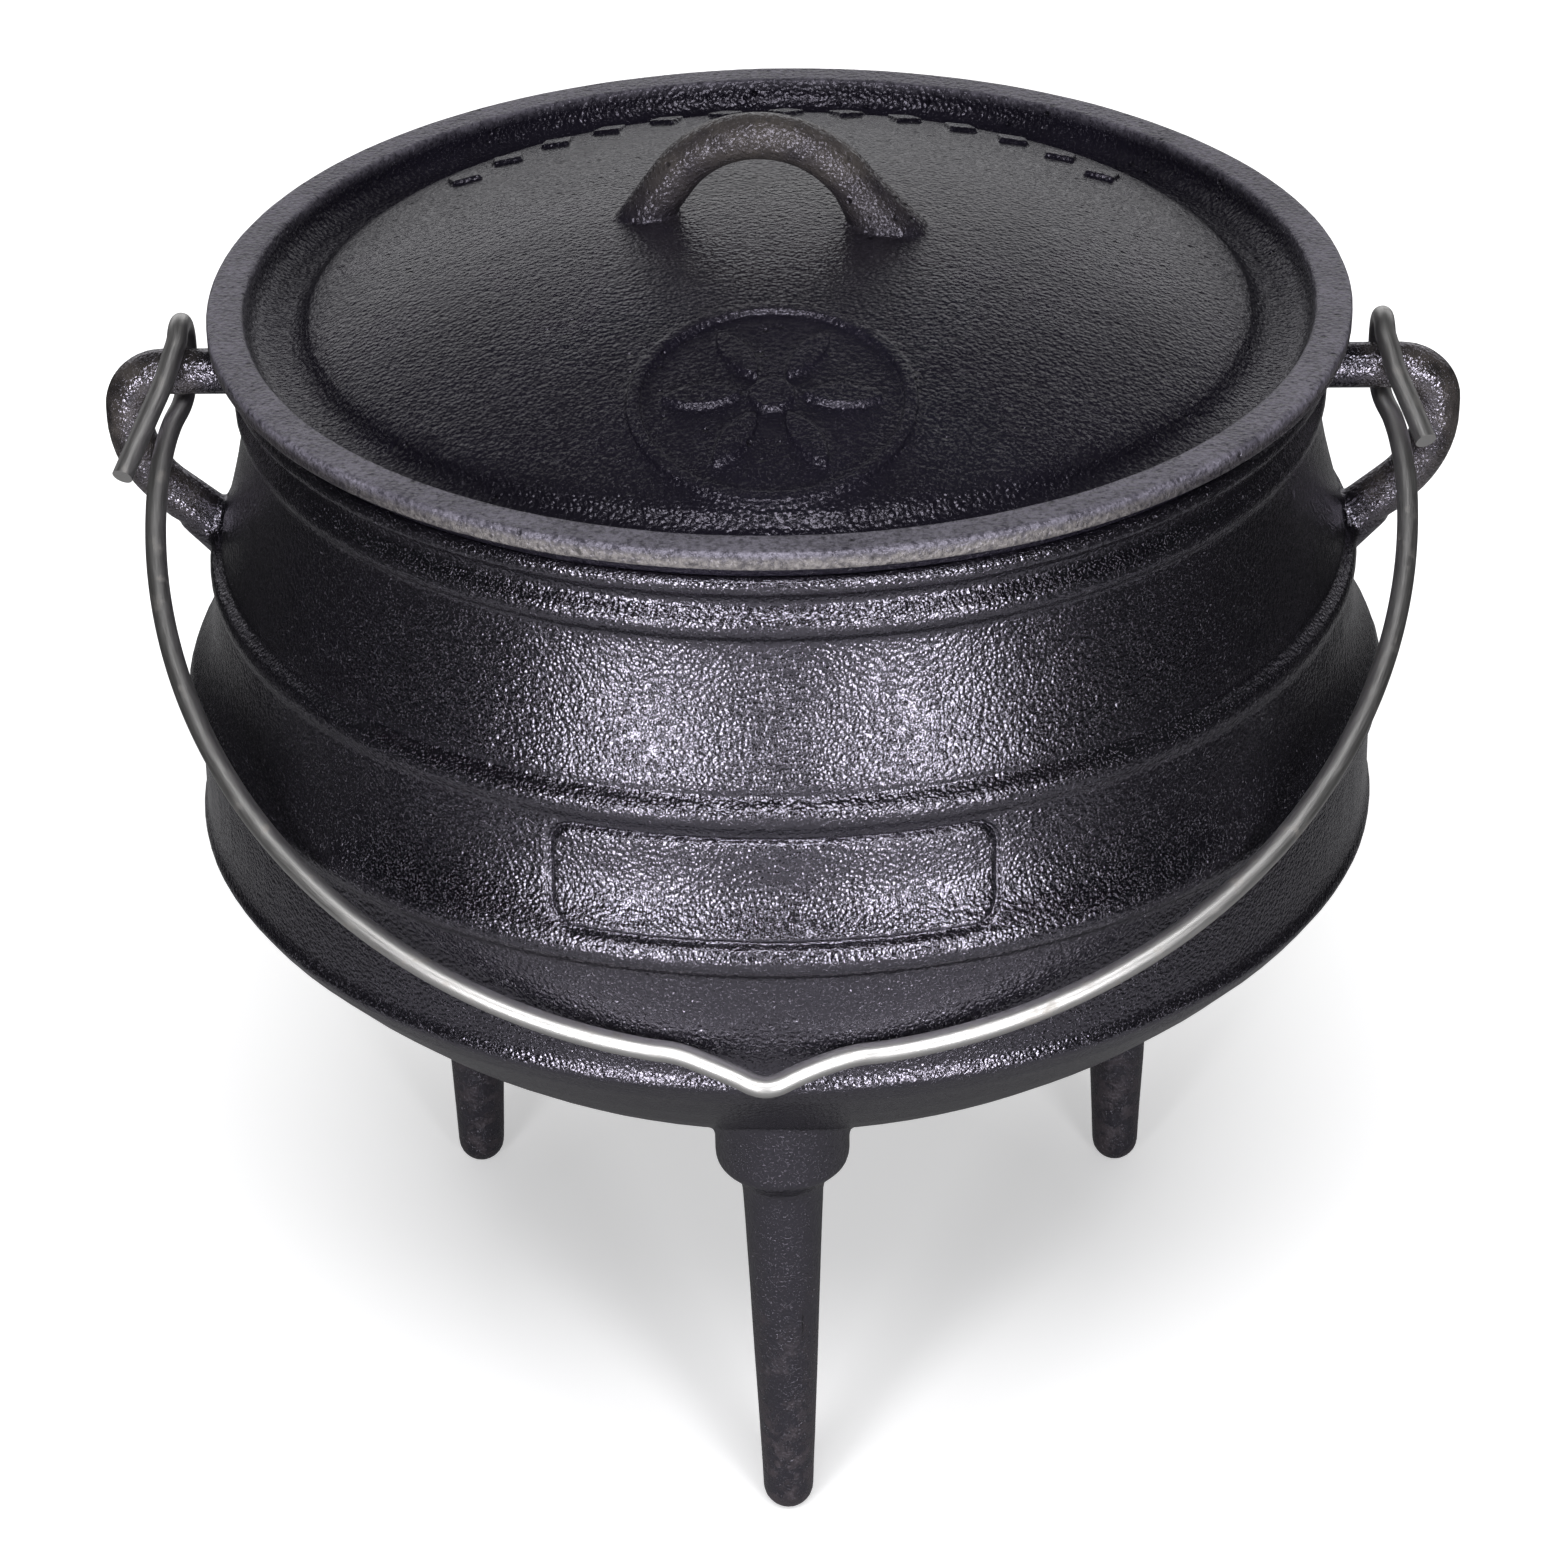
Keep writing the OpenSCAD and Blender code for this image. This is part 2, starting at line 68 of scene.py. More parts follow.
class CastingSettings(bpy.types.PropertyGroup):
    voxel: bpy.props.FloatProperty(
        name="Skin voxel", description="Size of the voxels that round the casting's edges",
        default=0.75 * MM, min=0.5 * MM, max=4 * MM, precision=5, unit="LENGTH")
    relax: bpy.props.IntProperty(
        name="Relax", description="Smoothing passes that turn joints into fillets",
        default=2, min=0, max=20)
    triangles: bpy.props.IntProperty(
        name="Triangles", description="Triangles kept on a casting",
        default=172000, min=20000, max=199000)
    uneven: bpy.props.FloatProperty(
        name="Unevenness", description="Height of the slow waves that the sand mould leaves",
        default=0.18 * MM, min=0.0, max=1 * MM, precision=5, unit="LENGTH")
    pot_colour: bpy.props.FloatVectorProperty(
        name="Pot colour", description="Seasoned iron of the pot", default=(0.0027, 0.0025, 0.0036),
        size=3, min=0.0, max=1.0, subtype="COLOR")
    lid_colour: bpy.props.FloatVectorProperty(
        name="Lid colour", description="Seasoned iron of the lid", default=(0.0063, 0.0054, 0.0098),
        size=3, min=0.0, max=1.0, subtype="COLOR")
    # Dry worn iron on the flange's top, made lighter also as a painted sheen
    worn_and_sheen_colour: bpy.props.FloatVectorProperty(
        name="Worn and sheen colour", description="Dry iron and painted sheen on the lid's flange", default=(0.185, 0.174, 0.215),
        size=3, min=0.0, max=1.0, subtype="COLOR")
    bare_colour: bpy.props.FloatVectorProperty(
        name="Bare colour", description="Bare iron where the lid's edge is chipped",
        default=(0.19, 0.176, 0.172), size=3, min=0.0, max=1.0, subtype="COLOR")
    # Worn iron on the handle's top, lightened further as a painted highlight, and a painted highlight
    # on the ears' outer bars
    rubbed_and_highlight_colour: bpy.props.FloatVectorProperty(
        name="Rubbed and highlight colour", description="Iron on the top of the handle and on the ears",
        default=(0.060, 0.053, 0.050), size=3, min=0.0, max=1.0, subtype="COLOR")
    tip_colour: bpy.props.FloatVectorProperty(
        name="Foot colour", description="Scuffed iron on the legs' feet", default=(0.020, 0.014, 0.013),
        size=3, min=0.0, max=1.0, subtype="COLOR")


class WireSettings(bpy.types.PropertyGroup):
    radius: bpy.props.FloatProperty(
        name="Wire radius", description="Radius of the bail's wire", default=2.5 * MM,
        min=1 * MM, max=4 * MM, precision=5, unit="LENGTH")
    step: bpy.props.FloatProperty(
        name="Step", description="Distance between the rings of the wire", default=1.2 * MM,
        min=0.5 * MM, max=6 * MM, precision=5, unit="LENGTH")
    sides: bpy.props.IntProperty(
        name="Sides", description="Sides of the wire's section", default=28, min=8, max=64)
    colour: bpy.props.FloatVectorProperty(
        name="Wire colour", description="Bright drawn steel", default=(0.55, 0.542, 0.54),
        size=3, min=0.0, max=1.0, subtype="COLOR")


class StageSettings(bpy.types.PropertyGroup):
    floor_colour: bpy.props.FloatVectorProperty(
        name="Floor colour", description="Plain pale floor", default=(0.86, 0.86, 0.87),
        size=3, min=0.0, max=1.0, subtype="COLOR")
    lens: bpy.props.FloatProperty(
        name="Lens", description="Focal length on a 36 mm wide sensor", default=113.5, min=20, max=300)
    turn: bpy.props.FloatProperty(
        name="Turn", description="How far the camera stands round to the right of the front",
        default=math.radians(1.5), subtype="ANGLE")
    tilt: bpy.props.FloatProperty(
        name="Tilt", description="How far the camera looks down",
        default=math.radians(30.54), subtype="ANGLE")
    front_power: bpy.props.FloatProperty(
        name="Front power", description="Power of each light in front",
        default=4.1, min=0.0, unit="POWER")
    above_power: bpy.props.FloatProperty(
        name="Above power", description="Power of the light above",
        default=14.0, min=0.0, unit="POWER")


class PotjieSettings(bpy.types.PropertyGroup):
    casting: bpy.props.PointerProperty(type=CastingSettings)
    wire: bpy.props.PointerProperty(type=WireSettings)
    stage: bpy.props.PointerProperty(type=StageSettings)


def link(obj):
    bpy.context.scene.collection.objects.link(obj)
    return obj


def evaluated_mesh(obj, name):
    """The object's mesh with its modifiers in place, as a mesh of its own."""
    graph = bpy.context.evaluated_depsgraph_get()
    mesh = bpy.data.meshes.new_from_object(obj.evaluated_get(graph))
    mesh.name = name
    return mesh


def settle(obj):
    """Puts the modified mesh in the object's place and takes the modifiers off."""
    mesh = evaluated_mesh(obj, obj.name)
    obj.modifiers.clear()
    obj.data = mesh
    return obj


def triangle_count(mesh):
    return sum(len(p.vertices) - 2 for p in mesh.polygons)


# Shader helpers

def node_of(tree, kind, **values):
    node = tree.nodes.new(kind)
    for key, value in values.items():
        setattr(node, key, value)
    return node


def math_node(tree, operation, a, b=None, clamp=False):
    node = node_of(tree, "ShaderNodeMath", operation=operation, use_clamp=clamp)
    for socket, value in zip(node.inputs, (a, b)):
        if value is None:
            continue
        if isinstance(value, (int, float)):
            socket.default_value = value
        else:
            tree.links.new(value, socket)
    return node.outputs[0]


def product(tree, first, *others):
    for other in others:
        first = math_node(tree, "MULTIPLY", first, other)
    return first


def axes_of(tree, vector):
    split = node_of(tree, "ShaderNodeSeparateXYZ")
    tree.links.new(vector, split.inputs["Vector"])
    return split.outputs


def noise_node(tree, vector, scale, detail=2.0, roughness=0.5):
    node = node_of(tree, "ShaderNodeTexNoise", noise_dimensions="3D")
    tree.links.new(vector, node.inputs["Vector"])
    for name, value in (("Scale", scale), ("Detail", detail), ("Roughness", roughness)):
        if isinstance(value, (int, float)):
            node.inputs[name].default_value = value
        else:
            tree.links.new(value, node.inputs[name])
    return node.outputs["Fac"]


def remap(tree, value, low, high, to_low=0.0, to_high=1.0):
    node = node_of(tree, "ShaderNodeMapRange", clamp=True)
    tree.links.new(value, node.inputs["Value"])
    limits = {"From Min": low, "From Max": high, "To Min": to_low, "To Max": to_high}
    for name, number in limits.items():
        node.inputs[name].default_value = number
    return node.outputs["Result"]


def mix_colour(tree, factor, a, b):
    node = node_of(tree, "ShaderNodeMix", data_type="RGBA")
    tree.links.new(factor, node.inputs["Factor"])
    for socket, value in ((node.inputs["A"], a), (node.inputs["B"], b)):
        if isinstance(value, bpy.types.NodeSocket):
            tree.links.new(value, socket)
        else:
            socket.default_value = (*value, 1.0)
    return node.outputs["Result"]


def ray_kinds(tree):
    """Camera rays, and the rays in which metal and glass show what is around them."""
    path = node_of(tree, "ShaderNodeLightPath")
    rays = path.outputs
    mirrored = math_node(tree, "MAXIMUM", rays["Is Glossy Ray"], rays["Is Transmission Ray"])
    return rays["Is Camera Ray"], mirrored


def new_group(name, inputs, outputs):
    """A shader node group with float, vector or colour sockets."""
    tree = bpy.data.node_groups.new(name, "ShaderNodeTree")
    for label, kind, value in inputs:
        socket = tree.interface.new_socket(name=label, in_out="INPUT", socket_type=kind)
        if value is not None:
            socket.default_value = value
    for label, kind in outputs:
        tree.interface.new_socket(name=label, in_out="OUTPUT", socket_type=kind)
    return tree, node_of(tree, "NodeGroupInput"), node_of(tree, "NodeGroupOutput")


def mix_value(tree, factor, a, b):
    node = node_of(tree, "ShaderNodeMix", data_type="FLOAT")
    for name, value in (("Factor", factor), ("A", a), ("B", b)):
        if isinstance(value, (int, float)):
            node.inputs[name].default_value = value
        else:
            tree.links.new(value, node.inputs[name])
    return node.outputs["Result"]


# Finishes

SPECULAR_TINT = (0.88, 0.83, 1.0, 1.0)
PATCH_LIGHTER = 1.6
GLOSS_SPREAD = 0.04
PIT_COVER = 0.6
PIT_DARKER = 0.5
PIT_CELLS = 250.0
DRAWN_LENGTH = 18.0
DRAWN_BUMP = 0.03 * MM
DULL_SPOT = (0.62, 0.55, 0.48)


def casting_skin_group():
    """Height of sand-cast iron: close pebbles, grains, sharp specks, slow swells and a few pits."""
    name = "CastingSkin"
    if name in bpy.data.node_groups:
        return bpy.data.node_groups[name]
    tree, source, sink = new_group(
        name,
        [("Vector", "NodeSocketVector", None), ("Grain Scale", "NodeSocketFloat", 700.0),
         ("Swell", "NodeSocketFloat", 1.0), ("Pit Amount", "NodeSocketFloat", 0.5)],
        [("Height", "NodeSocketFloat"), ("Pits", "NodeSocketFloat"), ("Patches", "NodeSocketFloat")])
    vector = source.outputs["Vector"]
    scale = source.outputs["Grain Scale"]
    stones = node_of(tree, "ShaderNodeTexVoronoi", feature="F1")
    tree.links.new(vector, stones.inputs["Vector"])
    tree.links.new(scale, stones.inputs["Scale"])
    pebbles = remap(tree, stones.outputs["Distance"], 0.0, 0.75, 1.0, 0.0)
    grains = noise_node(tree, vector, math_node(tree, "MULTIPLY", scale, 0.8), 2.5, 0.6)
    swell = noise_node(tree, vector, 150.0, 2.0, 0.5)
    cells = node_of(tree, "ShaderNodeTexVoronoi", feature="F1")
    tree.links.new(vector, cells.inputs["Vector"])
    cells.inputs["Scale"].default_value = PIT_CELLS
    near = remap(tree, cells.outputs["Distance"], 0.08, 0.22, 1.0, 0.0)
    rare = remap(tree, noise_node(tree, vector, 60.0, 3.0), 0.5, 0.6)
    pits = product(tree, near, rare, source.outputs["Pit Amount"])
    fine = noise_node(tree, vector, math_node(tree, "MULTIPLY", scale, 2.1), 1.0, 0.5)
    specks = remap(tree, fine, 0.58, 0.72)
    height = math_node(tree, "ADD", pebbles, math_node(tree, "MULTIPLY", grains, 1.4))
    height = math_node(tree, "ADD", height, math_node(tree, "MULTIPLY", specks, 0.7))
    height = math_node(tree, "ADD", height, math_node(tree, "MULTIPLY", swell, source.outputs["Swell"]))
    height = math_node(tree, "SUBTRACT", height, math_node(tree, "MULTIPLY", pits, 1.8))
    tree.links.new(height, sink.inputs["Height"])
    tree.links.new(pits, sink.inputs["Pits"])
    tree.links.new(noise_node(tree, vector, 16.0, 4.0, 0.6), sink.inputs["Patches"])
    return tree


def radius_and_height(tree, place):
    """Distance from the pot's axis and height above the floor, for masks on round places."""
    axes = axes_of(tree, place)
    square = [math_node(tree, "MULTIPLY", axes[name], axes[name]) for name in ("X", "Y")]
    return math_node(tree, "SQRT", math_node(tree, "ADD", *square)), axes["Z"]


def on_flange(tree, place):
    """The flat top of the lid's flange, where the oil is worn off; its lighter colour there is also a
    painted sheen.
    """
    radius, height = radius_and_height(tree, place)
    out = remap(tree, radius, LID_R - 10 * MM, LID_R - 7.5 * MM)
    top = remap(tree, height, RIM_Z + 6 * MM, RIM_Z + 8.2 * MM)
    uneven = remap(tree, noise_node(tree, place, 70.0, 4.0, 0.65), 0.3, 0.6, 0.5, 1.0)
    specks = remap(tree, noise_node(tree, place, 620.0, 3.0, 0.7), 0.38, 0.56, 0.3, 1.0)
    return product(tree, out, top, uneven, specks)


def on_lower_edge(tree, place):
    """Chips along the bottom of the lid's side, most of them in front."""
    radius, height = radius_and_height(tree, place)
    out = remap(tree, radius, LID_R - 2.2 * MM, LID_R - 1.2 * MM)
    low = remap(tree, height, RIM_Z + 6.4 * MM, RIM_Z + 7.8 * MM, 1.0, 0.0)
    front = remap(tree, axes_of(tree, place)["Y"], -126 * MM, -95 * MM, 1.0, 0.2)
    chips = remap(tree, noise_node(tree, place, 700.0, 4.0, 0.7), 0.38, 0.6, 0.3, 1.0)
    return product(tree, out, low, front, chips)


def on_handle(tree, place):
    """The top of the lid's handle, worn by hands and lighter also as a painted highlight."""
    top = remap(tree, axes_of(tree, place)["Z"], HANDLE_Z - 30 * MM, HANDLE_Z - 8 * MM)
    rubbed_and_sheen = remap(tree, noise_node(tree, place, 120.0, 4.0, 0.6), 0.3, 0.6, 0.4, 1.0)
    return product(tree, top, rubbed_and_sheen)


def on_ears(tree, place):
    """The ears' outer bars: a painted highlight in a lighter colour, with a little less roughness."""
    axes = axes_of(tree, place)
    out = remap(tree, math_node(tree, "ABSOLUTE", axes["X"]), 136 * MM, 143 * MM)
    high = remap(tree, axes["Z"], RIM_Z - 56 * MM, RIM_Z - 44 * MM)
    highlight_patches = remap(tree, noise_node(tree, place, 170.0, 3.0, 0.55), 0.35, 0.65, 0.3, 1.0)
    return product(tree, out, high, highlight_patches)


def on_feet(tree, place):
    """Scuffs on the feet that fade out up the legs."""
    low = remap(tree, axes_of(tree, place)["Z"], 20 * MM, 85 * MM, 1.0, 0.0)
    scuffs = remap(tree, noise_node(tree, place, 190.0, 5.0, 0.7), 0.45, 0.6)
    return product(tree, low, scuffs)


def iron_material(name, colour, grain_scale, swell, pits, bump_height, rough, ior, wear_and_sheen):
    """Seasoned cast iron. Each item in the list of worn iron and painted highlights is a mask, the
    colour there and the roughness there.
    """
    material = bpy.data.materials.new(name)
    material.use_nodes = True
    tree = material.node_tree
    shader = tree.nodes["Principled BSDF"]
    place = node_of(tree, "ShaderNodeTexCoord").outputs["Object"]
    skin = node_of(tree, "ShaderNodeGroup", node_tree=casting_skin_group())
    tree.links.new(place, skin.inputs["Vector"])
    skin.inputs["Grain Scale"].default_value = grain_scale
    skin.inputs["Swell"].default_value = swell
    skin.inputs["Pit Amount"].default_value = pits
    bump = node_of(tree, "ShaderNodeBump")
    bump.inputs["Strength"].default_value = 1.0
    bump.inputs["Distance"].default_value = bump_height
    tree.links.new(skin.outputs["Height"], bump.inputs["Height"])
    tree.links.new(bump.outputs["Normal"], shader.inputs["Normal"])
    shade = remap(tree, skin.outputs["Patches"], 0.35, 0.65)
    base = mix_colour(tree, shade, colour, tuple(c * PATCH_LIGHTER for c in colour))
    gloss = remap(tree, skin.outputs["Patches"], 0.3, 0.7, rough + GLOSS_SPREAD, rough - GLOSS_SPREAD)
    # Worn iron on the feet and the lid's edge, and the painted highlights and sheen on the ears, handle
    # and flange, go in one mask at a time.
    for mask_of, worn_and_sheen_colour, worn_rough in wear_and_sheen:
        mask = mask_of(tree, place)
        base = mix_colour(tree, mask, base, worn_and_sheen_colour)
        gloss = mix_value(tree, mask, gloss, worn_rough)
    pitted = math_node(tree, "MULTIPLY", skin.outputs["Pits"], PIT_COVER, clamp=True)
    base = mix_colour(tree, pitted, base, tuple(c * PIT_DARKER for c in colour))
    tree.links.new(base, shader.inputs["Base Color"])
    tree.links.new(gloss, shader.inputs["Roughness"])
    shader.inputs["IOR"].default_value = ior
    shader.inputs["Specular Tint"].default_value = SPECULAR_TINT
    return material


def wire_material(name, colour):
    """Drawn steel: fine lines along the wire, with a few dull warm spots."""
    material = bpy.data.materials.new(name)
    material.use_nodes = True
    tree = material.node_tree
    shader = tree.nodes["Principled BSDF"]
    shader.inputs["Metallic"].default_value = 1.0
    along = node_of(tree, "ShaderNodeAttribute", attribute_name="along")
    ring = node_of(tree, "ShaderNodeAttribute", attribute_name="ring")
    across = axes_of(tree, ring.outputs["Vector"])
    place = node_of(tree, "ShaderNodeCombineXYZ")
    tree.links.new(across["X"], place.inputs["X"])
    tree.links.new(across["Y"], place.inputs["Y"])
    tree.links.new(math_node(tree, "MULTIPLY", along.outputs["Fac"], DRAWN_LENGTH), place.inputs["Z"])
    lines = noise_node(tree, place.outputs["Vector"], 9.0, 3.0, 0.6)
    coords = node_of(tree, "ShaderNodeTexCoord")
    spots = remap(tree, noise_node(tree, coords.outputs["Object"], 200.0, 4.0, 0.6), 0.58, 0.72)
    bump = node_of(tree, "ShaderNodeBump")
    bump.inputs["Strength"].default_value = 0.5
    bump.inputs["Distance"].default_value = DRAWN_BUMP
    tree.links.new(lines, bump.inputs["Height"])
    tree.links.new(bump.outputs["Normal"], shader.inputs["Normal"])
    dull = tuple(c * k for c, k in zip(colour, DULL_SPOT))
    tree.links.new(mix_colour(tree, math_node(tree, "MULTIPLY", spots, 0.4), colour, dull),
                   shader.inputs["Base Color"])
    gloss = remap(tree, lines, 0.3, 0.7, 0.36, 0.5)
    gloss = math_node(tree, "ADD", gloss, math_node(tree, "MULTIPLY", spots, 0.15))
    tree.links.new(gloss, shader.inputs["Roughness"])
    return material


# Castings

PANEL_W = 99.4 * MM
PANEL_H = 22.9 * MM
PANEL_CORNER = 5.4 * MM
PANEL_Z = RIM_Z - 73.06 * MM
PANEL_LINE = 0.6 * MM
PANEL_LINE_W = 0.55 * MM
PANEL_REACH = (2.6 * MM, 1.6 * MM, 1.1 * MM)
PANEL_EDGE = 0.4 * MM
PANEL_SPARE = 36000
FRONT_Y = -100 * MM
BELLY_R = 143.8 * MM
LID_FINER = 0.62
CORNER_Z = RIM_Z - 123.1 * MM
CORNER_BEAD = 1.1 * MM
CORNER_BEAD_W = 2.2 * MM
CORNER_BEAD_R = BELLY_R - 4 * MM
RIB_LINE_Z = RIM_Z - 51.9 * MM
RIB_LINE_R = 133 * MM
RIB_LINE = 0.8 * MM
RIB_LINE_W = 1.2 * MM


def vertex_values(mesh, name):
    values = np.empty(len(mesh.vertices) * 3)
    mesh.vertices.foreach_get(name, values)
    return values.reshape(-1, 3)


def roughen(mesh, height):
    """Slow waves along the normals, as a sand mould leaves them. The feet stay on the floor."""
    places = vertex_values(mesh, "co")
    normals = vertex_values(mesh, "normal")
    waves = np.array([
        0.65 * noise.noise(Vector(p) * 34.0) + 0.35 * noise.noise(Vector(p) * 95.0 + Vector((3, 1, 2)))
        for p in places])
    moved = places + normals * (waves * height)[:, None]
    moved[:, 2] = np.maximum(moved[:, 2], 0.0)
    mesh.vertices.foreach_set("co", moved.ravel())
    mesh.update()


def panel_distance(x, z):
    """How far a point of the front view is from the middle of the panel's border."""
    across = np.abs(x) - (PANEL_W / 2 - PANEL_CORNER)
    up = np.abs(z - PANEL_Z) - (PANEL_H / 2 - PANEL_CORNER)
    outside = np.hypot(np.maximum(across, 0.0), np.maximum(up, 0.0))
    return np.abs(outside + np.minimum(np.maximum(across, up), 0.0) - PANEL_CORNER)


def score_panel(mesh):
    """Splits the skin along the panel's border and sinks a crisp line into it."""
    shape = bmesh.new()
    shape.from_mesh(mesh)

    def distance(edge):
        start, end = (vert.co for vert in edge.verts)
        return min(panel_distance(p.x, p.z) for p in (start, end, (start + end) / 2))

    for reach in PANEL_REACH:
        near = [e for e in shape.edges
                if e.verts[0].co.y < FRONT_Y and e.calc_length() > PANEL_EDGE and distance(e) < reach]
        bmesh.ops.subdivide_edges(shape, edges=near, cuts=1, use_grid_fill=True)
        bmesh.ops.triangulate(shape, faces=[f for f in shape.faces if len(f.verts) > 3])
    for vert in shape.verts:
        if vert.co.y < FRONT_Y:
            depth = PANEL_LINE * math.exp(-(panel_distance(vert.co.x, vert.co.z) / PANEL_LINE_W) ** 2)
            outward = Vector((vert.co.x, vert.co.y, 0.0)).normalized()
            if vert.normal.dot(outward) > 0:
                vert.co -= outward * depth
    shape.to_mesh(mesh)
    shape.free()


def sharpen_ribs(mesh):
    """Swells the turn into the bowl and sinks a line over the middle rib."""
    places = vertex_values(mesh, "co")
    radius = np.maximum(np.hypot(places[:, 0], places[:, 1]), MM)
    height = places[:, 2]
    bead = CORNER_BEAD * np.exp(-((height - CORNER_Z) / CORNER_BEAD_W) ** 2)
    line = RIB_LINE * np.exp(-((height - RIB_LINE_Z) / RIB_LINE_W) ** 2)
    swell = (radius > CORNER_BEAD_R) * bead - (radius > RIB_LINE_R) * line
    places[:, :2] *= (1 + swell / radius)[:, None]
    mesh.vertices.foreach_set("co", places.ravel())
    mesh.update()


def casting(node, name, settings, voxel, shape=None, spare=0):
    """One finished casting from its CAD solid: rounded by a voxel skin and relaxed at its joints.

    The spare triangles are left for lines that are scored into it later.
    """
    obj = link(bpy.data.objects.new(name, frame["nodes"][node].data.copy()))
    skin = obj.modifiers.new("Skin", "REMESH")
    skin.mode = "VOXEL"
    skin.voxel_size = voxel * 1.0
    relax = obj.modifiers.new("Relax", "SMOOTH")
    relax.factor = 0.5
    relax.iterations = settings.relax
    settle(obj)
    if shape:
        shape(obj.data)
    total = triangle_count(obj.data)
    most = settings.triangles - spare
    if total > most:
        thin = obj.modifiers.new("Thin", "DECIMATE")
        thin.ratio = most / total
        settle(obj)
    roughen(obj.data, settings.uneven)
    obj.data.shade_smooth()
    return obj


class POTJIE_OT_pot(bpy.types.Operator):
    """Makes the pot's finished casting"""
    bl_idname = "potjie.pot"
    bl_label = "Pot"

    def execute(self, context):
        look = context.scene.potjie.casting
        obj = casting("pot", "pot_casting", look, look.voxel, sharpen_ribs, PANEL_SPARE)
        score_panel(obj.data)
        obj.data.materials.clear()
        # The ears' lighter colour is a painted highlight.
        obj.data.materials.append(iron_material(
            "iron_pot", look.pot_colour, grain_scale=1000.0, swell=0.6, pits=0.5,
            bump_height=0.135 * MM, rough=0.2, ior=2.1,
            wear_and_sheen=((on_feet, look.tip_colour, 0.5), (on_ears, look.rubbed_and_highlight_colour, 0.17))))
        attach(obj, "pot")
        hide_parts("pot")
        return {"FINISHED"}


class POTJIE_OT_lid(bpy.types.Operator):
    """Makes the lid's finished casting"""
    bl_idname = "potjie.lid"
    bl_label = "Lid"

    def execute(self, context):
        look = context.scene.potjie.casting
        obj = casting("lid", "lid_casting", look, look.voxel * LID_FINER)
        obj.data.materials.clear()
        # The flange's lighter colour is dry worn iron and a painted sheen; the handle's top is worn
        # iron and a painted highlight.
        obj.data.materials.append(iron_material(
            "iron_lid", look.lid_colour, grain_scale=850.0, swell=1.0, pits=1.6,
            bump_height=0.2 * MM, rough=0.27, ior=1.52,
            wear_and_sheen=((on_flange, look.worn_and_sheen_colour, 0.42), (on_lower_edge, look.bare_colour, 0.36),
                  (on_handle, look.rubbed_and_highlight_colour, 0.22))))
        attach(obj, "pot")
        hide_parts("lid")
        return {"FINISHED"}


# The bail, in its own plane: x across, s down from the ears, w out of the plane

HOOK_X = 143.4 * MM
HOOK_R = 9.0 * MM
HOOK_PLAY = 3.0 * MM
HOOK_END = 27.0 * MM
HOOK_EXTRA = 8.0 * MM
HOOK_LEAN = 8.0 * MM
LEG_SPLAY = 5.0 * MM
BAIL_DROP = 29.0 * MM
DIP = 7.0 * MM
DIP_W = 20.0 * MM
DIP_SIDE = -2.0 * MM
REST_CLEAR = 0.4 * MM


def rest_tilt(belly_r, wire_r, clear):
    """The bail's angle below level when it leans on the belly."""
    touch_x = DIP_W - abs(DIP_SIDE)
    bail_r = HOOK_X + LEG_SPLAY
    touch_s = BAIL_DROP + math.sqrt(bail_r ** 2 - touch_x ** 2)
    touch_y = math.sqrt((belly_r + wire_r + clear) ** 2 - touch_x ** 2)
    return math.acos(touch_y / math.hypot(touch_s, HOOK_R)) - math.atan2(HOOK_R, touch_s)


def hook_route(extra):
    far = HOOK_END + extra
    end = [(HOOK_X + HOOK_LEAN * (1 - t) * far / HOOK_END, far * (1 - t) + t * MM, HOOK_R)
           for t in (0.0, 0.25, 0.5, 0.75)]
    end.append((HOOK_X + 0.8 * MM, 1.0 * MM, HOOK_R))
    bight = []
    for a in range(90, 271, 10):
        turn = math.radians(a)
        bight.append((HOOK_X, -HOOK_PLAY + HOOK_R * math.cos(turn), HOOK_R * math.sin(turn)))
    leg = [(HOOK_X + 0.5 * MM, 3 * MM, -HOOK_R)]
    for t in (1 / 3, 2 / 3, 1.0):
        leg.append((HOOK_X + LEG_SPLAY * (1 - (1 - t) ** 2), BAIL_DROP * t, -HOOK_R))
    return end + bight + leg


def round_route(to_x):
    bail_r = HOOK_X + LEG_SPLAY
    end = math.asin(to_x / bail_r)
    steps = 36
    points = []
    for i in range(1, steps + 1):
        a = math.pi / 2 - (math.pi / 2 - end) * i / steps
        points.append((bail_r * math.sin(a), BAIL_DROP + bail_r * math.cos(a), -HOOK_R))
    return points


def dip_route():
    low = BAIL_DROP + HOOK_X + LEG_SPLAY
    half = [(0.62, 0.2), (0.3, 0.62), (0.12, 0.88)]
    right = [(DIP_SIDE + DIP_W * a, low + DIP * b, -HOOK_R) for a, b in half]
    left = [(DIP_SIDE - DIP_W * a, low + DIP * b, -HOOK_R) for a, b in reversed(half)]
    return right + [(DIP_SIDE, low + DIP * 0.95, -HOOK_R)] + left


def bail_route(tilt):
    """The wire's centre line in the pot's frame."""
    right = hook_route(0.0) + round_route(DIP_SIDE + DIP_W)
    left = [(-x, s, w) for x, s, w in reversed(hook_route(HOOK_EXTRA) + round_route(DIP_W - DIP_SIDE))]
    c, n = math.cos(tilt), math.sin(tilt)
    return [Vector((x, -s * c - w * n, PIVOT_Z - s * n + w * c))
            for x, s, w in right + dip_route() + left]


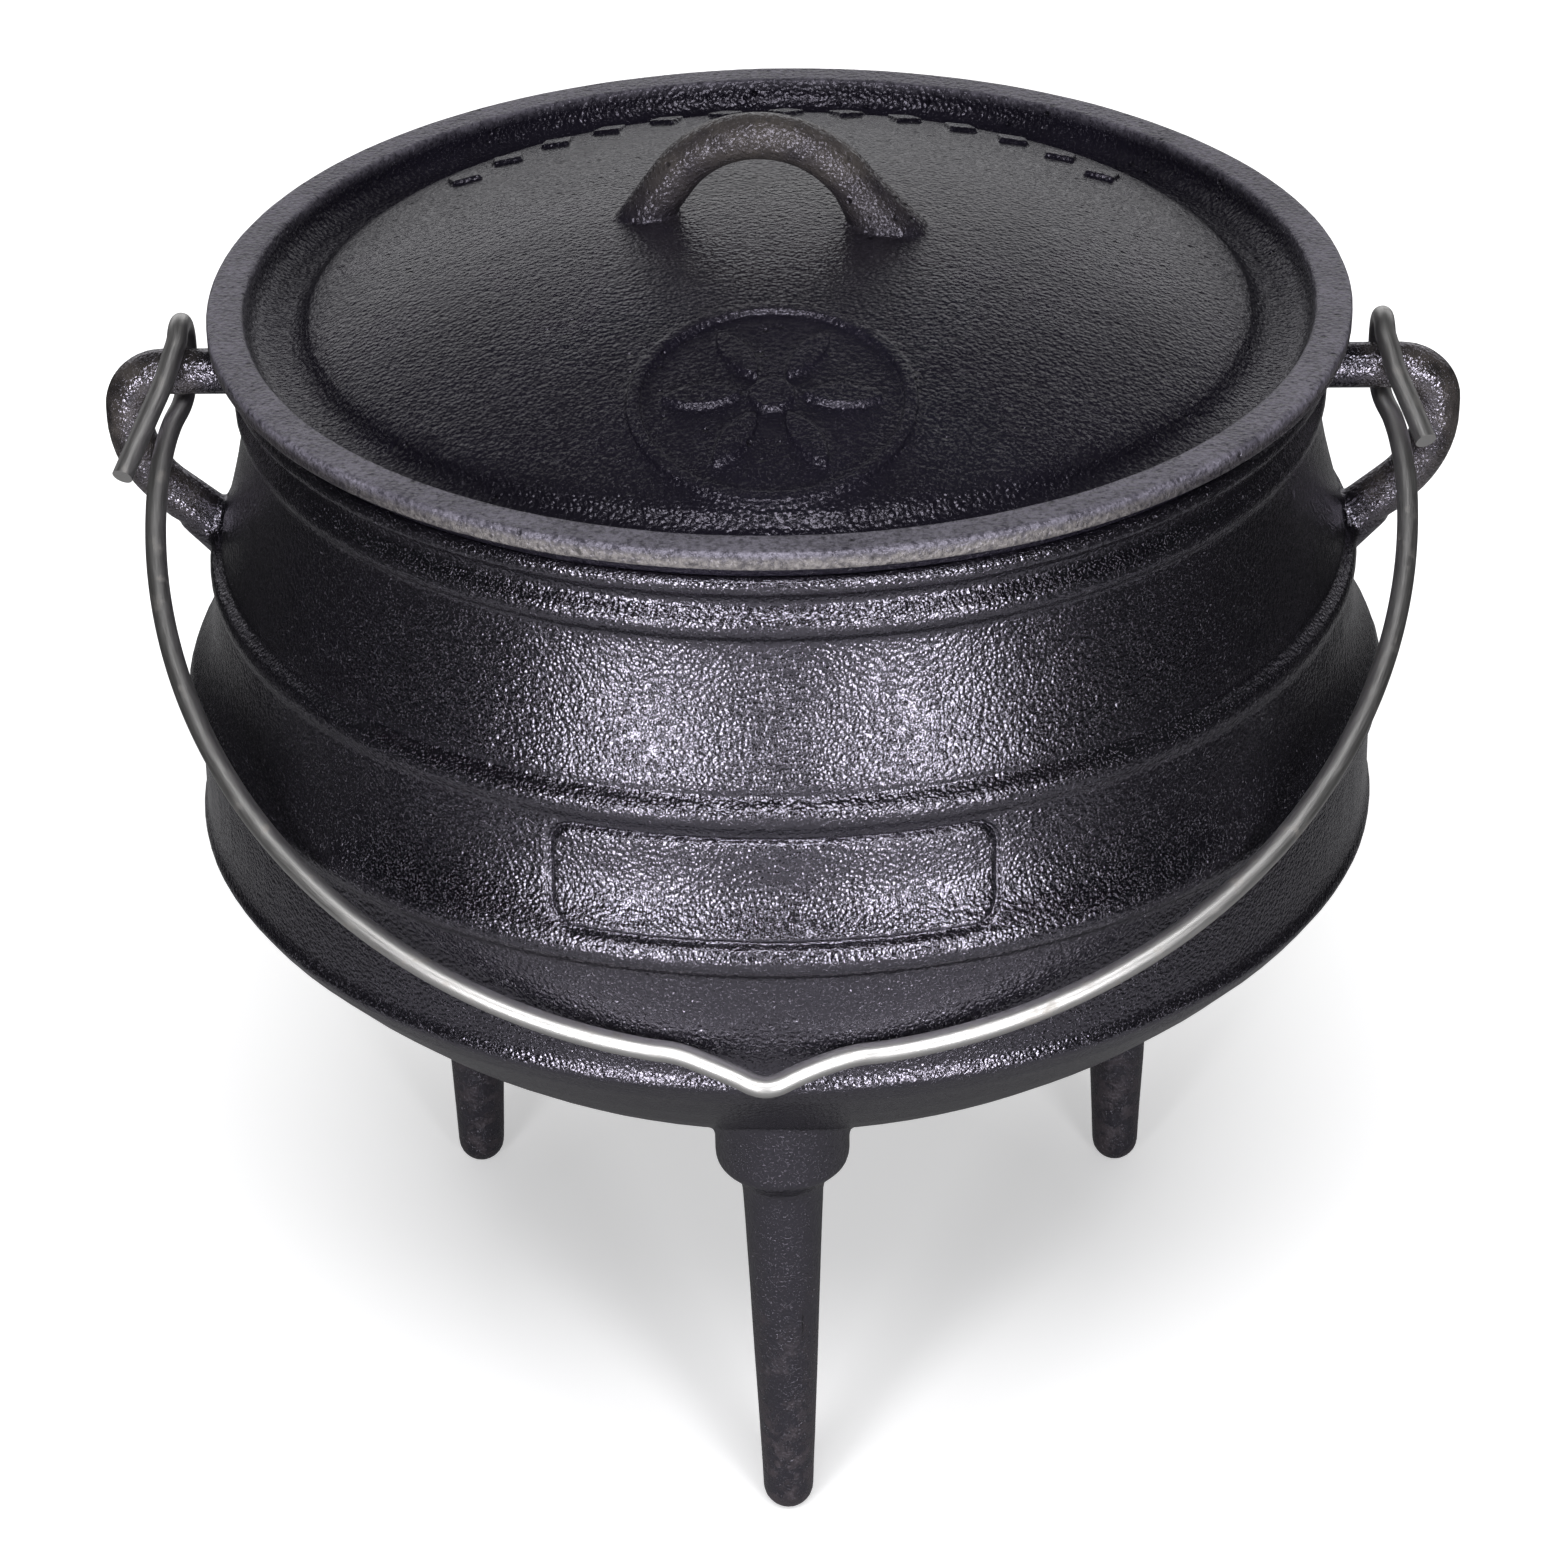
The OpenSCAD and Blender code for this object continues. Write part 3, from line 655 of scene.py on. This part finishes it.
def wire_sweep_group():
    """Geometry Nodes: a round wire along a curve, with its length and side kept for the shader."""
    name = "WireSweep"
    if name in bpy.data.node_groups:
        return bpy.data.node_groups[name]
    tree = bpy.data.node_groups.new(name, "GeometryNodeTree")
    tree.interface.new_socket(name="Route", in_out="INPUT", socket_type="NodeSocketGeometry")
    for label, kind in (("Radius", "NodeSocketFloat"), ("Step", "NodeSocketFloat"),
                        ("Sides", "NodeSocketInt"), ("Material", "NodeSocketMaterial")):
        tree.interface.new_socket(name=label, in_out="INPUT", socket_type=kind)
    tree.interface.new_socket(name="Wire", in_out="OUTPUT", socket_type="NodeSocketGeometry")
    source = node_of(tree, "NodeGroupInput")
    sink = node_of(tree, "NodeGroupOutput")
    spline = node_of(tree, "GeometryNodeCurveSplineType", spline_type="BEZIER")
    handles = node_of(tree, "GeometryNodeCurveSetHandles", handle_type="AUTO")
    fine = node_of(tree, "GeometryNodeResampleCurve", mode="LENGTH")
    length = node_of(tree, "GeometryNodeSplineParameter")
    keep_length = node_of(
        tree, "GeometryNodeStoreNamedAttribute", data_type="FLOAT", domain="POINT")
    keep_length.inputs["Name"].default_value = "along"
    ring = node_of(tree, "GeometryNodeCurvePrimitiveCircle")
    ring_place = node_of(tree, "GeometryNodeInputPosition")
    unit = node_of(tree, "ShaderNodeVectorMath", operation="NORMALIZE")
    keep_ring = node_of(
        tree, "GeometryNodeStoreNamedAttribute", data_type="FLOAT_VECTOR", domain="POINT")
    keep_ring.inputs["Name"].default_value = "ring"
    sweep = node_of(tree, "GeometryNodeCurveToMesh")
    sweep.inputs["Fill Caps"].default_value = True
    realize = node_of(tree, "GeometryNodeRealizeInstances")
    paint = node_of(tree, "GeometryNodeSetMaterial")
    wire = tree.links.new
    wire(source.outputs["Route"], spline.inputs["Curve"])
    wire(spline.outputs["Curve"], handles.inputs["Curve"])
    wire(handles.outputs["Curve"], fine.inputs["Curve"])
    wire(source.outputs["Step"], fine.inputs["Length"])
    wire(fine.outputs["Curve"], keep_length.inputs["Geometry"])
    wire(length.outputs["Length"], keep_length.inputs["Value"])
    wire(source.outputs["Sides"], ring.inputs["Resolution"])
    wire(source.outputs["Radius"], ring.inputs["Radius"])
    wire(ring.outputs["Curve"], keep_ring.inputs["Geometry"])
    wire(ring_place.outputs["Position"], unit.inputs[0])
    wire(unit.outputs["Vector"], keep_ring.inputs["Value"])
    wire(keep_length.outputs["Geometry"], sweep.inputs["Curve"])
    wire(keep_ring.outputs["Geometry"], sweep.inputs["Profile Curve"])
    wire(sweep.outputs["Mesh"], realize.inputs["Geometry"])
    wire(realize.outputs["Geometry"], paint.inputs["Geometry"])
    wire(source.outputs["Material"], paint.inputs["Material"])
    wire(paint.outputs["Geometry"], sink.inputs["Wire"])
    return tree


def swept_wire(name, points, settings, material):
    curve = bpy.data.curves.new(name + "_route", "CURVE")
    curve.dimensions = "3D"
    spline = curve.splines.new("POLY")
    spline.points.add(len(points) - 1)
    for point, place in zip(spline.points, points):
        point.co = (*place, 1.0)
    route = link(bpy.data.objects.new(name + "_route", curve))
    sweep = route.modifiers.new("Sweep", "NODES")
    sweep.node_group = wire_sweep_group()
    sockets = {item.name: item.identifier for item in sweep.node_group.interface.items_tree
               if item.in_out == "INPUT"}
    sweep[sockets["Radius"]] = settings.radius
    sweep[sockets["Step"]] = settings.step
    sweep[sockets["Sides"]] = settings.sides
    sweep[sockets["Material"]] = material
    obj = link(bpy.data.objects.new(name, evaluated_mesh(route, name)))
    bpy.data.objects.remove(route)
    obj.data.shade_smooth()
    return obj


class POTJIE_OT_bail(bpy.types.Operator):
    """Makes the bail by sweeping a round wire along its route"""
    bl_idname = "potjie.bail"
    bl_label = "Bail"

    def execute(self, context):
        look = context.scene.potjie.wire
        material = wire_material("drawn_steel", look.colour)
        tilt = rest_tilt(BELLY_R, look.radius, REST_CLEAR)
        obj = swept_wire("bail_wire", bail_route(tilt), look, material)
        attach(obj, "bail")
        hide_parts("bail")
        return {"FINISHED"}


# Stage

LOOK_AT = (0.0, 0.0, 0.2)
FRONT_LIGHT = (0.386, -0.868, 0.27)
FRONT_LIGHT_SIZE = (0.2, 0.38)
ABOVE_LIGHT = (0.0, -1.0, 1.35)
ABOVE_LIGHT_SIZE = (1.0, 0.4)
CAMERA_PLACE = (-0.0008, -1.0662, 0.7763)
CAMERA_ROLL = math.radians(-0.98)
FLOOR_HALF = 6.0
FILL = 0.2
PAPER_HALF = 0.36
PAPER_FADE = 0.06
PAPER_DIM = 0.82
GLOW_SPAN = (0.08, 0.4)
GLOW = (0.34, 1.0)


def area_light(name, place, size, power):
    data = bpy.data.lights.new(name, "AREA")
    data.shape = "RECTANGLE"
    data.size, data.size_y = size
    data.energy = power
    obj = link(bpy.data.objects.new(name, data))
    turn = (Vector(LOOK_AT) - Vector(place)).to_track_quat("-Z", "Y")
    obj.matrix_world = Matrix.Translation(place) @ turn.to_matrix().to_4x4()


def camera(settings):
    """The photograph's view: a long lens, a little to the right of the front."""
    data = bpy.data.cameras.new("photo_view")
    data.lens = settings.lens
    data.sensor_width = 36.0
    data.clip_start = 0.05
    data.clip_end = 20.0
    obj = link(bpy.data.objects.new("photo_view", data))
    look = Vector((0.0, math.cos(settings.tilt), -math.sin(settings.tilt)))
    level = Vector((1.0, 0.0, 0.0))
    right = level * math.cos(CAMERA_ROLL) + level.cross(look) * math.sin(CAMERA_ROLL)
    basis = Matrix((right, right.cross(look), -look)).transposed().to_4x4()
    obj.matrix_world = Matrix.Rotation(settings.turn, 4, "Z") @ Matrix.Translation(CAMERA_PLACE) @ basis
    return obj


def studio_world():
    """White behind the pot, to the camera and in reflections. The sides and the ceiling are dim."""
    world = bpy.data.worlds.new("studio")
    world.use_nodes = True
    tree = world.node_tree
    background = tree.nodes["Background"]
    seen, mirrored = ray_kinds(tree)
    way = axes_of(tree, node_of(tree, "ShaderNodeTexCoord").outputs["Generated"])
    ceiling = remap(tree, way["Z"], 0.36, 0.66, 1.0, 0.04)
    sides = remap(tree, math_node(tree, "ABSOLUTE", way["X"]), 0.4, 0.8, 1.0, 0.015)
    front = remap(tree, way["Y"], -0.3, 0.2, 0.015, 1.0)
    strength = mix_value(tree, mirrored, FILL, product(tree, ceiling, sides, front))
    strength = mix_value(tree, seen, strength, 1.0)
    tree.links.new(strength, background.inputs["Strength"])
    background.inputs["Color"].default_value = (1.0, 1.0, 1.0, 1.0)
    bpy.context.scene.world = world


def paper_material(colour):
    """White paper. In reflections it is dimmer, and a strip between the studio's dark sides."""
    paper = bpy.data.materials.new("paper")
    paper.use_nodes = True
    tree = paper.node_tree
    shader = tree.nodes["Principled BSDF"]
    shader.inputs["Roughness"].default_value = 0.9
    place = node_of(tree, "ShaderNodeTexCoord").outputs["Object"]
    aside = math_node(tree, "ABSOLUTE", axes_of(tree, place)["X"])
    dim = remap(tree, aside, PAPER_HALF - PAPER_FADE, PAPER_HALF + PAPER_FADE, PAPER_DIM, 1.0)
    seen, mirrored = ray_kinds(tree)
    dark = product(tree, dim, mirrored)
    tree.links.new(mix_colour(tree, dark, colour, (0.02, 0.02, 0.02)), shader.inputs["Base Color"])
    shader.inputs["Emission Color"].default_value = (1.0, 1.0, 1.0, 1.0)
    away, _ = radius_and_height(tree, place)
    glow = remap(tree, away, *GLOW_SPAN, *GLOW)
    strip = product(tree, mirrored, math_node(tree, "SUBTRACT", 1.0, dim))
    shown = math_node(tree, "MAXIMUM", seen, strip)
    tree.links.new(product(tree, shown, glow), shader.inputs["Emission Strength"])
    return paper


class POTJIE_OT_stage(bpy.types.Operator):
    """Makes the floor, the lights and the camera"""
    bl_idname = "potjie.stage"
    bl_label = "Stage"

    def execute(self, context):
        settings = context.scene.potjie.stage
        corners = [(x * FLOOR_HALF, y * FLOOR_HALF, 0) for x, y in ((-1, -1), (1, -1), (1, 1), (-1, 1))]
        floor_mesh = bpy.data.meshes.new("floor")
        floor_mesh.from_pydata(corners, [], [(0, 1, 2, 3)])
        floor_mesh.materials.append(paper_material(settings.floor_colour))
        floor = link(bpy.data.objects.new("floor", floor_mesh))
        studio_world()
        for name, side in (("front_left", -1), ("front_right", 1)):
            place = (side * FRONT_LIGHT[0], *FRONT_LIGHT[1:])
            area_light(name, place, FRONT_LIGHT_SIZE, settings.front_power)
        area_light("front_above", ABOVE_LIGHT, ABOVE_LIGHT_SIZE, settings.above_power)
        context.scene.camera = camera(settings)
        context.scene.view_settings.view_transform = "Standard"
        return {"FINISHED"}


class POTJIE_PT_panel(bpy.types.Panel):
    bl_label = "Potjie Pot"
    bl_idname = "POTJIE_PT_panel"
    bl_space_type = "VIEW_3D"
    bl_region_type = "UI"
    bl_category = "Potjie"

    def draw(self, context):
        settings = context.scene.potjie
        groups = {"Castings": settings.casting, "Bail": settings.wire, "Stage": settings.stage}
        for label, group in groups.items():
            box = self.layout.box()
            box.label(text=label)
            for name in group.bl_rna.properties.keys():
                if name not in ("rna_type", "name"):
                    box.prop(group, name)
        for operator in OPERATORS:
            self.layout.operator(operator.bl_idname)


OPERATORS = (POTJIE_OT_pot, POTJIE_OT_lid, POTJIE_OT_bail, POTJIE_OT_stage)
CLASSES = (CastingSettings, WireSettings, StageSettings, PotjieSettings, *OPERATORS, POTJIE_PT_panel)


def register():
    for item in CLASSES:
        bpy.utils.register_class(item)
    bpy.types.Scene.potjie = bpy.props.PointerProperty(type=PotjieSettings)


def unregister():
    del bpy.types.Scene.potjie
    for item in reversed(CLASSES):
        bpy.utils.unregister_class(item)


def main():
    register()
    bpy.ops.potjie.pot()
    bpy.ops.potjie.lid()
    bpy.ops.potjie.bail()
    bpy.ops.potjie.stage()


if __name__ == "__main__":
    main()
